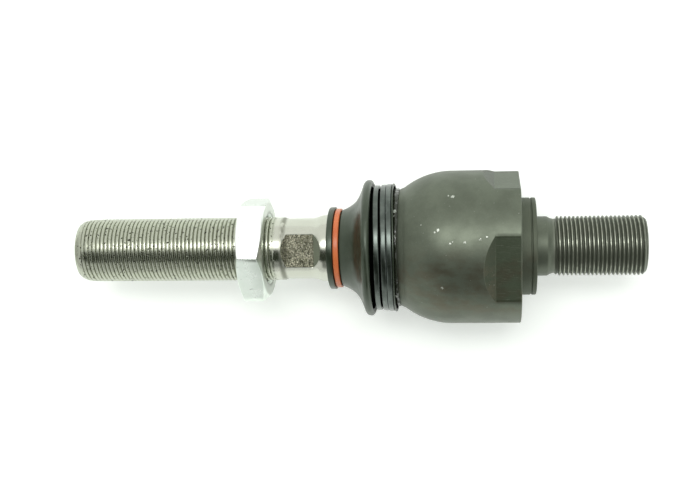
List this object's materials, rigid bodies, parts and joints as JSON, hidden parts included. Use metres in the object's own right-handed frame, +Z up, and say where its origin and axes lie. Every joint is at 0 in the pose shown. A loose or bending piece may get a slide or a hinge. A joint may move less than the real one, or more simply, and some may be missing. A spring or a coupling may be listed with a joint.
{
  "type": "tie rod end",
  "caption": "Axial ball joint of a heavy steering tie rod: socket housing with threaded stud, long threaded ball pin with jam nut, and a clamped rubber boot.",
  "frame": {"origin": "on the joint's axis, at the middle of the overall length, with the pin straight; the ball's centre is at x = 0.036", "axes": "+X along the axis from the long ball pin to the housing's stud, +Z up towards the viewer of the flat-lying part, +Y across it"},
  "size_m": [0.2126, 0.0568, 0.0568],
  "materials": {
    "phosphated_steel": "olive-grey phosphated steel, satin, with small scratches and chips",
    "machined_steel": "bright machined steel with a rough forged shank",
    "zinc_plate": "bright zinc plate",
    "bearing_plastic": "natural acetal",
    "spring_steel": "oiled spring steel",
    "boot_rubber": "black moulded rubber, semi-gloss",
    "black_wire": "gloss black coated flat wire",
    "orange_plastic": "orange moulded plastic"
  },
  "bodies": {
    "housing": {"housing": "phosphated_steel", "front_ball_seat": "bearing_plastic", "pressure_plate": "spring_steel", "disc_spring": "spring_steel", "boot": "boot_rubber", "boot_clamp_ring": "black_wire"},
    "seat": {"rear_ball_seat": "bearing_plastic"},
    "neck": {"boot_small_ring": "orange_plastic"},
    "pin": {"ball_pin": "machined_steel"},
    "nut": {"jam_nut": "zinc_plate"}
  },
  "joints": [
    {"name": "swing_direction", "type": "hinge", "parent": "housing", "child": "seat", "pos_m": [0.036, 0, 0], "axis": [1, 0, 0], "continuous": true},
    {"name": "swing", "type": "hinge", "parent": "seat", "child": "neck", "pos_m": [0.036, 0, 0], "axis": [0, 0, 1], "range_deg": [-18, 18], "deforming": ["boot"]},
    {"name": "pin_spin", "type": "hinge", "parent": "neck", "child": "pin", "pos_m": [0.036, 0, 0], "axis": [1, 0, 0], "continuous": true},
    {"name": "nut_travel", "type": "slide", "parent": "pin", "child": "nut", "axis": [1, 0, 0], "range_m": [-0.06, 0.003]}
  ]
}
